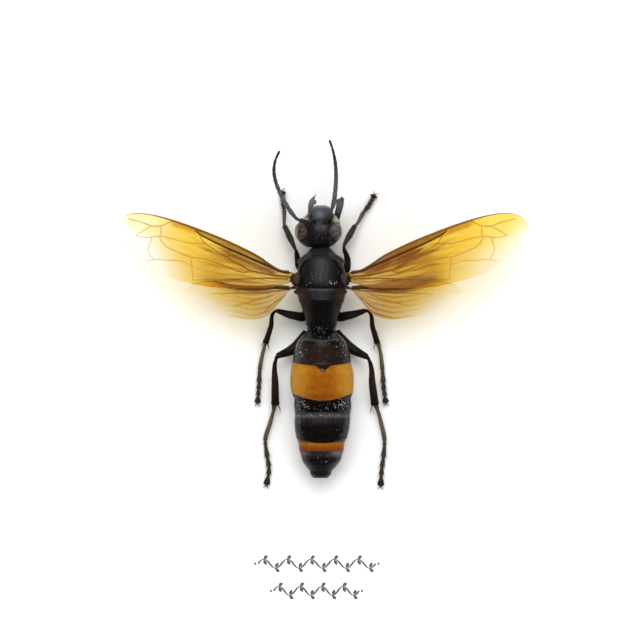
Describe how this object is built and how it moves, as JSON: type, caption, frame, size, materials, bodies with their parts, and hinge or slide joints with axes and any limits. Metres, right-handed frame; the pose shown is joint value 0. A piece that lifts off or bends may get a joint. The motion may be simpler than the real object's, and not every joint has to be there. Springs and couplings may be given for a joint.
{
  "type": "mounted wasp",
  "caption": "Dried wasp with spread amber wings and orange-banded abdomen, glued flat on a square white mounting board.",
  "frame": {"origin": "centre of the mounting board's back face", "axes": "+Z out of the board's front face towards the insect, +Y towards the insect's head, +X towards its right wing"},
  "size_m": [0.08, 0.08, 0.0086],
  "materials": {
    "white_board": "matt white card",
    "black_chitin": "satin black, finely pitted, with dust",
    "brown_chitin": "dull dark brown, bristly",
    "orange_chitin": "satin orange, finely pitted",
    "compound_eye": "smooth mottled brown with an olive rim",
    "amber_wing": "thin glossy see-through amber membrane with brown veins",
    "clear_glue": "clear dried glue",
    "grey_ink": "dark grey ink on card"
  },
  "bodies": {
    "root": {"antenna_flagellum_left": "black_chitin", "antenna_flagellum_right": "black_chitin", "antenna_scape_left": "black_chitin", "antenna_scape_right": "black_chitin", "coxa_fore_left": "black_chitin", "coxa_fore_right": "black_chitin", "coxa_hind_left": "black_chitin", "coxa_hind_right": "black_chitin", "coxa_mid_left": "black_chitin", "coxa_mid_right": "black_chitin", "eye_left": "compound_eye", "eye_right": "compound_eye", "femur_fore_left": "black_chitin", "femur_fore_right": "black_chitin", "femur_hind_left": "black_chitin", "femur_hind_right": "black_chitin", "femur_mid_left": "black_chitin", "femur_mid_right": "black_chitin", "forewing_left": "amber_wing", "forewing_right": "amber_wing", "gaster_segment_1": "black_chitin", "gaster_segment_2": "orange_chitin", "gaster_segment_3": "black_chitin", "gaster_segment_4": "black_chitin", "gaster_segment_5": "orange_chitin", "gaster_segment_6": "black_chitin", "gaster_segment_7": "black_chitin", "glue_dab": "clear_glue", "head_capsule": "black_chitin", "hindwing_left": "amber_wing", "hindwing_right": "amber_wing", "mandible_left": "black_chitin", "mandible_right": "black_chitin", "mesothorax": "black_chitin", "mounting_board": "white_board", "pronotum": "black_chitin", "propodeum": "black_chitin", "tarsus_fore_left": "brown_chitin", "tarsus_fore_right": "brown_chitin", "tarsus_hind_left": "brown_chitin", "tarsus_hind_right": "brown_chitin", "tarsus_mid_left": "brown_chitin", "tarsus_mid_right": "brown_chitin", "tegula_left": "brown_chitin", "tegula_right": "brown_chitin", "tibia_fore_left": "black_chitin", "tibia_fore_right": "black_chitin", "tibia_hind_left": "black_chitin", "tibia_hind_right": "black_chitin", "tibia_mid_left": "black_chitin", "tibia_mid_right": "black_chitin"}
  },
  "joints": []
}
